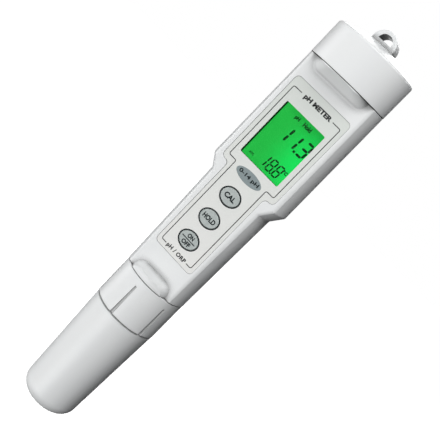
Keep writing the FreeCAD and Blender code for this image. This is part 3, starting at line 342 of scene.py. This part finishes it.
looks = {
    "housing_white": moulded_plastic("housing_plastic", (0.80, 0.81, 0.81), (0.775, 0.79, 0.795)),
    "label_silver": label_film(),
    "window_clear": clear_window(),
    "bezel_black": moulded_plastic("bezel_plastic", (0.010, 0.026, 0.012), (0.016, 0.036, 0.018), 0.4),
    "display_green": display_cell(),
    "light_guide": light_guide(),
    "key_grey": silicone("key_silicone", (0.38, 0.42, 0.41), (0.48, 0.52, 0.51)),
    "board_green": circuit_board(),
    "chip_black": moulded_epoxy(),
    "carrier_grey": moulded_plastic("carrier_plastic", (0.12, 0.125, 0.13), (0.16, 0.165, 0.17), 0.5),
    "steel": brushed_metal("stainless_steel", (0.60, 0.60, 0.61)),
    "nickel": brushed_metal("nickel_plate", (0.72, 0.70, 0.66), 0.2),
    "seal_black": smooth_rubber("seal_rubber", (0.012, 0.012, 0.012)),
    "module_white": moulded_plastic("module_plastic", (0.70, 0.72, 0.71), (0.66, 0.68, 0.67), 0.42),
    "module_grey": moulded_plastic("guard_plastic", (0.05, 0.058, 0.07), (0.07, 0.078, 0.09), 0.45),
    "ph_glass": thin_glass(),
    "ceramic_white": porous_ceramic(),
    "gilt": brushed_metal("gold_plate", (0.92, 0.66, 0.24), 0.18),
    "sponge_yellow": open_sponge(),
}
for row in frame["record"]["subparts"]:
    mesh = frame["nodes"][row["node"]].data
    mesh.materials.clear()
    mesh.materials.append(looks[row["material_slot"]])


# ---------------------------------------------------------------- shapes of printed ink

INK = 0.012 * MM          # how thick printed ink stands
LIFT = 0.004 * MM         # how far ink floats off the surface under it
WELD = 0.0005 * MM        # points of a letter nearer than this are made one
OVAL_POINTS = 64
CORNER_STEPS = 6
black_ink = printed_ink("black_ink", (0.016, 0.017, 0.018))
badge_ink = printed_ink("badge_ink", (0.26, 0.31, 0.32), 0.35)
key_ink = printed_ink("key_ink", (0.006, 0.012, 0.014))
crystal_ink = printed_ink("crystal_ink", (0.002, 0.03, 0.006), 0.5, glow=(0.002, 0.035, 0.007))


def piece(name, mesh, body, material):
    """A finished piece in the CAD's own frame, riding on its body."""
    thing = bpy.data.objects.new(name, mesh)
    bpy.context.scene.collection.objects.link(thing)
    mesh.materials.clear()
    mesh.materials.append(material)
    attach(thing, body)


def finished(name, form):
    """The mesh of a closed form, with all its faces turned outwards."""
    mesh = bpy.data.meshes.new(name)
    bmesh.ops.recalc_face_normals(form, faces=form.faces)
    form.to_mesh(mesh)
    form.free()
    return mesh


def plate_mesh(name, outlines, front):
    """Thin closed plates facing -Y, one for each (x, z) outline, with their fronts at one Y."""
    form = bmesh.new()
    for outline in outlines:
        faces = [[form.verts.new((x, y, z)) for x, z in outline] for y in (front, front + INK)]
        form.faces.new(faces[0])
        form.faces.new(list(reversed(faces[1])))
        for here in range(len(outline)):
            there = (here + 1) % len(outline)
            form.faces.new((faces[0][there], faces[0][here], faces[1][here], faces[1][there]))
    return finished(name, form)


def rectangle(left, right, low, high):
    return [(left, low), (right, low), (right, high), (left, high)]


def rounded_line(corners, radius):
    """The points of an open line whose inner corners are rounded."""
    points = [Vector(corners[0])]
    for before, corner, after in zip(corners, corners[1:], corners[2:]):
        before, corner, after = Vector(before), Vector(corner), Vector(after)
        arrive = (before - corner).normalized()
        leave = (after - corner).normalized()
        centre = corner + (arrive + leave) * radius
        start = (corner + arrive * radius) - centre
        end = (corner + leave * radius) - centre
        for step in range(CORNER_STEPS + 1):
            turn = step / CORNER_STEPS * math.pi / 2
            points.append(centre + start * math.cos(turn) + end * math.sin(turn))
    points.append(Vector(corners[-1]))
    return points


def strip_outline(points, width):
    """The outline of a strip of even width along an open line."""
    left, right = [], []
    for here, point in enumerate(points):
        before = points[max(here - 1, 0)]
        after = points[min(here + 1, len(points) - 1)]
        ahead = (after - before).normalized()
        side = Vector((-ahead.y, ahead.x)) * width / 2
        left.append(point + side)
        right.append(point - side)
    return left + right[::-1]


def oval(centre, half_width, half_height):
    """The points of an oval about an (x, z) centre."""
    turns = [2 * math.pi * step / OVAL_POINTS for step in range(OVAL_POINTS)]
    return [(centre[0] + half_width * math.cos(turn), centre[1] + half_height * math.sin(turn))
            for turn in turns]


def ring_mesh(name, centre, inner, outer, front):
    """A thin oval ring facing -Y; inner and outer are half widths and half heights."""
    form = bmesh.new()
    loops = []
    for half_sizes, y in ((inner, front), (outer, front), (outer, front + INK), (inner, front + INK)):
        loops.append([form.verts.new((x, y, z)) for x, z in oval(centre, *half_sizes)])
    for first, second in zip(loops, loops[1:] + loops[:1]):
        for here in range(OVAL_POINTS):
            there = (here + 1) % OVAL_POINTS
            form.faces.new((first[here], first[there], second[there], second[here]))
    return finished(name, form)


def letter_mesh(name, text, centre, width, height, front, bold, spacing):
    """Lettering facing -Y, fitted to a width and height about an (x, z) centre."""
    curve = bpy.data.curves.new(name, "FONT")
    curve.body = text
    curve.offset = bold
    curve.space_character = spacing
    curve.resolution_u = 4
    curve.extrude = 0.1       # any depth does, because fit makes it as thick as the ink
    holder = bpy.data.objects.new(name + "_curve", curve)
    bpy.context.scene.collection.objects.link(holder)
    shapes = bpy.context.evaluated_depsgraph_get()
    mesh = bpy.data.meshes.new_from_object(holder.evaluated_get(shapes))
    bpy.data.objects.remove(holder)
    corners = [vert.co for vert in mesh.vertices]
    low = Vector([min(corner[axis] for corner in corners) for axis in range(3)])
    high = Vector([max(corner[axis] for corner in corners) for axis in range(3)])
    middle = (low + high) / 2
    fit = Matrix.Diagonal((width / (high.x - low.x), height / (high.y - low.y), INK / (high.z - low.z), 1))
    stand = Matrix.Rotation(math.pi / 2, 4, "X")
    place = Matrix.Translation((centre[0], front + INK / 2, centre[1]))
    mesh.transform(place @ stand @ fit @ Matrix.Translation(-middle))
    form = bmesh.new()
    form.from_mesh(mesh)
    bmesh.ops.remove_doubles(form, verts=form.verts, dist=WELD)
    form.to_mesh(mesh)
    form.free()
    mesh.name = name
    return mesh


def word(name, text, centre, size, front, body, ink, bold=0.05, spacing=1.0):
    """A printed word as a piece; size is its width and height in millimetres."""
    mesh = letter_mesh(name, text, centre, size[0] * MM, size[1] * MM, front, bold, spacing)
    piece(name, mesh, body, ink)


# ---------------------------------------------------------------- printing on the label and keys

label_low, label_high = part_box("face_label")
label_face = label_low.y - LIFT - INK
frame_top = label_high.z - 4.1 * MM
frame_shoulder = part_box("display_lens")[0].z - 3.2 * MM
frame_foot = label_low.z + 2.2 * MM

KEY_FLANGE = 0.9 * MM     # how much wider the hidden flange of a key is than its cap
keys = {node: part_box(node) for node in ("key_cal", "key_hold", "key_on_off")}
key_middle = {node: ((low.x + high.x) / 2, (low.z + high.z) / 2) for node, (low, high) in keys.items()}
key_low, key_high = keys["key_cal"]
key_half = ((key_high.x - key_low.x) / 2 - KEY_FLANGE, (key_high.z - key_low.z) / 2 - KEY_FLANGE)
key_face = key_low.y - LIFT - INK


def frame_lines():
    """The line round the label, in two halves with gaps for the title and the foot words."""
    half_width = label_high.x - 1.9 * MM
    stem = half_width - 4.0 * MM
    top_gap = 8.4 * MM
    foot_gap = 5.9 * MM
    corner_radius = 0.75 * MM
    thickness = 0.34 * MM
    corners = [(top_gap, frame_top), (half_width, frame_top), (half_width, frame_shoulder),
               (stem, frame_shoulder), (stem, frame_foot), (foot_gap, frame_foot)]
    for side, end in ((-1, "left"), (1, "right")):
        name = "frame_line_" + end
        line = rounded_line([(side * x, z) for x, z in corners], corner_radius)
        mesh = plate_mesh(name, [strip_outline(line, thickness)], label_face)
        piece(name, mesh, "housing", black_ink)


def key_outlines():
    """A ring on the label round each key."""
    ring_start = 0.20 * MM    # both from the edge of the key's cap
    ring_end = 0.64 * MM
    inner = [half + ring_start for half in key_half]
    outer = [half + ring_end for half in key_half]
    for node, middle in key_middle.items():
        name = node + "_outline"
        mesh = ring_mesh(name, middle, inner, outer, label_face)
        piece(name, mesh, "housing", key_ink)


def badge():
    """The oval badge between the display and the upper key, and the words on it."""
    halfway = (frame_shoulder + key_middle["key_cal"][1] + key_half[1]) / 2
    middle = (0.0, halfway + 2.8 * MM)
    half_sizes = (6.55 * MM, 2.55 * MM)
    mesh = plate_mesh("badge", [oval(middle, *half_sizes)], label_face)
    piece("badge", mesh, "housing", badge_ink)
    badge_face = label_face - LIFT - INK
    word("badge_text", "0-14 pH", middle, (10.4, 2.1), badge_face, "housing", key_ink, bold=0.035)


def label_words():
    """Generic words in the two gaps of the frame line."""
    title_middle = (0.4 * MM, frame_top - 0.2 * MM)
    word("title_text", "pH METER", title_middle, (14.2, 2.6), label_face, "housing", black_ink)
    foot_middle = (-0.1 * MM, frame_foot - 0.1 * MM)
    word("foot_text", "pH / ORP", foot_middle, (10.4, 2.3), label_face, "housing", black_ink,
         bold=0.04, spacing=1.1)


def key_words():
    """The words on the keys: one each, and two on the on-off key with a rule between them."""
    rows = [                  # key, word, how far it is above the key's middle, width, height
        ("key_cal", "CAL", 0, 5.4, 2.2), ("key_hold", "HOLD", 0, 6.3, 2.2),
        ("key_on_off", "ON", 1.55, 3.2, 1.9), ("key_on_off", "OFF", -1.6, 4.2, 1.9)]
    for node, text, raised, width, height in rows:
        x, z = key_middle[node]
        word("text_" + text.lower(), text, (x, z + raised * MM), (width, height), key_face, node, key_ink,
             bold=0.045)
    x, z = key_middle["key_on_off"]
    half_length = 3.5 * MM
    thickness = 0.40 * MM
    rule = [Vector((x - half_length, z)), Vector((x + half_length, z))]
    mesh = plate_mesh("key_rule", [strip_outline(rule, thickness)], key_face)
    piece("key_rule", mesh, "key_on_off", key_ink)


frame_lines()
key_outlines()
badge()
label_words()
key_words()


# ---------------------------------------------------------------- display segments

SEGMENTS = {"1": "bc", "3": "abcdg", "8": "abcdefg"}     # which of the seven strokes each figure lights
STROKES = {               # column and row of one end, then of the other, from the lower left
    "a": (0, 2, 1, 2), "b": (1, 2, 1, 1), "c": (1, 1, 1, 0), "d": (0, 0, 1, 0),
    "e": (0, 1, 0, 0), "f": (0, 2, 0, 1), "g": (0, 1, 1, 1),
}
STROKE_GAP = 0.12         # bare length at each end of a stroke, as a share of its thickness
LEAN = 0.13               # how far a figure leans to the right for each unit of height
crystal_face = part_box("display_glass")[0].y - LIFT - INK
lens_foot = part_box("display_lens")[0].z


def stroke(start, end, width):
    """A pointed stroke between two places."""
    along = (end - start).normalized()
    side = Vector((-along.y, along.x)) * width / 2
    point = along * width / 2
    return [start, start + point + side, end - point + side, end, end - point - side, start + point - side]


def figure(text, corner, width, height, thick):
    """The strokes of one seven-segment figure; corner is its lower left, before it leans."""
    inset = thick / 2
    columns = (inset, width - inset)
    rows = (inset, height / 2, height - inset)
    outlines = []
    for mark in SEGMENTS[text]:
        first_column, first_row, last_column, last_row = STROKES[mark]
        start = Vector((columns[first_column], rows[first_row]))
        end = Vector((columns[last_column], rows[last_row]))
        gap = (end - start).normalized() * thick * STROKE_GAP
        points = stroke(start + gap, end - gap, thick)
        outlines.append([(corner[0] + x + z * LEAN, corner[1] + z) for x, z in points])
    return outlines


def display_row(name, figures, width, height, thick, low):
    """One row of figures: pairs of a figure and the x of its lower left, in millimetres."""
    outlines = []
    for text, x in figures:
        left = x * MM
        if text == ".":
            outlines.append(rectangle(left, left + thick, low, low + thick))
        else:
            outlines += figure(text, (left, low), width, height, thick)
    piece(name, plate_mesh(name, outlines, crystal_face), "housing", crystal_ink)


def display_words():
    """The unit, the hold word, the degree sign and the compensation mark."""
    rows = [                  # name, text, x, height above the lens's foot, width, height
        ("display_ph", "pH", -3.1, 24.7, 2.3, 2.1), ("display_hold", "Hold", 2.3, 24.9, 4.1, 2.0),
        ("display_degrees", "°C", 8.5, 6.6, 2.0, 1.5), ("display_mark", "ATC", -6.8, 2.9, 2.4, 1.0)]
    for name, text, x, above, width, height in rows:
        middle = (x * MM, lens_foot + above * MM)
        word(name, text, middle, (width, height), crystal_face, "housing", crystal_ink)


display_row("figures_main", [("1", -4.9), ("1", -0.1), (".", 4.5), ("3", 5.3)],
            width=4.0 * MM, height=7.4 * MM, thick=0.98 * MM, low=lens_foot + 14.3 * MM)
display_row("figures_temperature", [("1", -2.9), ("8", 0.75), (".", 3.7), ("8", 4.25)],
            width=2.9 * MM, height=5.9 * MM, thick=0.66 * MM, low=lens_foot + 2.0 * MM)
display_words()


# ---------------------------------------------------------------- marks on the cells

def cell_mark(node):
    """The plus on a cell's upper face: a bar, and two half bars that stop just short of it."""
    arm = 1.5 * MM
    half_bar = 0.2 * MM
    start = 0.22 * MM
    bars = [rectangle(-arm, arm, -half_bar, half_bar), rectangle(-half_bar, half_bar, start, arm),
            rectangle(-half_bar, half_bar, -arm, -start)]
    mesh = plate_mesh(node + "_plus", bars, 0.0)
    low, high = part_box(node)
    top = Matrix.Translation(((low.x + high.x) / 2, (low.y + high.y) / 2, high.z + LIFT))
    mesh.transform(top @ Matrix.Rotation(-math.pi / 2, 4, "X"))
    piece(node + "_plus", mesh, "housing", black_ink)


for number in (2, 4):
    cell_mark("button_cell_%d" % number)


# ---------------------------------------------------------------- floor, light and camera

def plain_floor():
    """Pale paper, far enough down to leave room for the protective cap to be pulled off."""
    reach = 3.0
    room = 70 * MM
    down = cad_box[0][2] - room
    corners = [(x, y, down) for x, y in rectangle(-reach, reach, -reach, reach)]
    mesh = bpy.data.meshes.new("floor")
    mesh.from_pydata(corners, [], [(0, 1, 2, 3)])
    floor = bpy.data.objects.new("floor", mesh)
    bpy.context.scene.collection.objects.link(floor)
    look = Look("floor_paper", Roughness=0.9, Base_Color=(0.5, 0.5, 0.5), Emission_Color=(1, 1, 1),
                Emission_Strength=1.0)
    mesh.materials.append(look.material)
    floor.visible_diffuse = False
    floor.visible_glossy = False
    floor.visible_transmission = False
    floor.visible_shadow = False


def surroundings():
    """White to the camera, and nearly dark to everything else, as in a studio with black drapes."""
    world = bpy.data.worlds.new("surroundings")
    bpy.context.scene.world = world
    world.use_nodes = True
    nodes, links = world.node_tree.nodes, world.node_tree.links
    nodes.clear()
    drapes = nodes.new("ShaderNodeBackground")
    drapes.inputs["Color"].default_value = (0.9, 0.95, 1.0, 1)
    drapes.inputs["Strength"].default_value = 0.02
    paper = nodes.new("ShaderNodeBackground")
    paper.inputs["Color"].default_value = (1, 1, 1, 1)
    seen = nodes.new("ShaderNodeLightPath").outputs["Is Camera Ray"]
    mix = nodes.new("ShaderNodeMixShader")
    links.new(seen, mix.inputs[0])
    links.new(drapes.outputs[0], mix.inputs[1])
    links.new(paper.outputs[0], mix.inputs[2])
    output = nodes.new("ShaderNodeOutputWorld")
    links.new(mix.outputs[0], output.inputs["Surface"])


def soft_box(name, turn, rise, distance, width, height, power):
    """An area light aimed at the pen's middle, turned to the right of the front and raised above level."""
    light = bpy.data.lights.new(name, "AREA")
    light.shape = "RECTANGLE"
    light.size, light.size_y = width, height
    light.energy = power
    lamp = bpy.data.objects.new(name, light)
    bpy.context.scene.collection.objects.link(lamp)
    turn, rise = math.radians(turn), math.radians(rise)
    outward = Vector((math.sin(turn) * math.cos(rise), -math.cos(turn) * math.cos(rise), math.sin(rise)))
    middle = Vector((0, 0, (cad_box[0][2] + cad_box[1][2]) / 2))
    lamp.location = middle + outward * distance
    lamp.rotation_euler = outward.to_track_quat("Z", "Y").to_euler()
    return lamp


def lights():
    """The studio's lights."""
    rows = [                  # name, turn and rise in degrees, distance, width and height in metres, watts
        ("front_light", -10, 0, 1.0, 0.5, 0.5, 5.3), ("high_light", 15, 60, 0.5, 0.25, 0.25, 1.0),
        ("right_light", 75, 60, 0.5, 0.25, 0.25, 0.6), ("left_fill", -85, -5, 1.0, 0.5, 0.6, 3.3),
        ("low_fill", -18, -35, 1.0, 0.6, 0.5, 3.0), ("back_high_light", -167, 35, 1.0, 0.5, 0.5, 4.0),
        ("back_low_light", -167, -30, 1.0, 0.5, 0.5, 3.0)]
    lamps = {row[0]: soft_box(*row) for row in rows}
    # The front light would fill the display window with its own reflection, so mirrored rays miss it.
    lamps["front_light"].visible_glossy = False
    lamps["front_light"].visible_transmission = False


def camera():
    """The picture's camera: a little right of the front and above, and rolled so the pen lies aslant."""
    yaw, pitch, roll = (math.radians(angle) for angle in (12.874, 10.005, 44.236))
    stand = (0.07662, -0.32954, 0.16702)
    ahead = Vector((-math.sin(yaw) * math.cos(pitch), math.cos(yaw) * math.cos(pitch), -math.sin(pitch)))
    level = Vector((math.cos(yaw), math.sin(yaw), 0))
    upright = level.cross(ahead)
    right = level * math.cos(roll) + upright * math.sin(roll)
    up = upright * math.cos(roll) - level * math.sin(roll)
    lens = bpy.data.cameras.new("camera")
    lens.lens = 69.85
    lens.sensor_width = 36.0
    lens.clip_start = 0.01
    view = bpy.data.objects.new("camera", lens)
    view.matrix_world = Matrix.Translation(stand) @ Matrix((right, up, -ahead)).transposed().to_4x4()
    bpy.context.scene.collection.objects.link(view)
    bpy.context.scene.camera = view


plain_floor()
surroundings()
lights()
camera()
bpy.context.scene.view_settings.view_transform = "Standard"
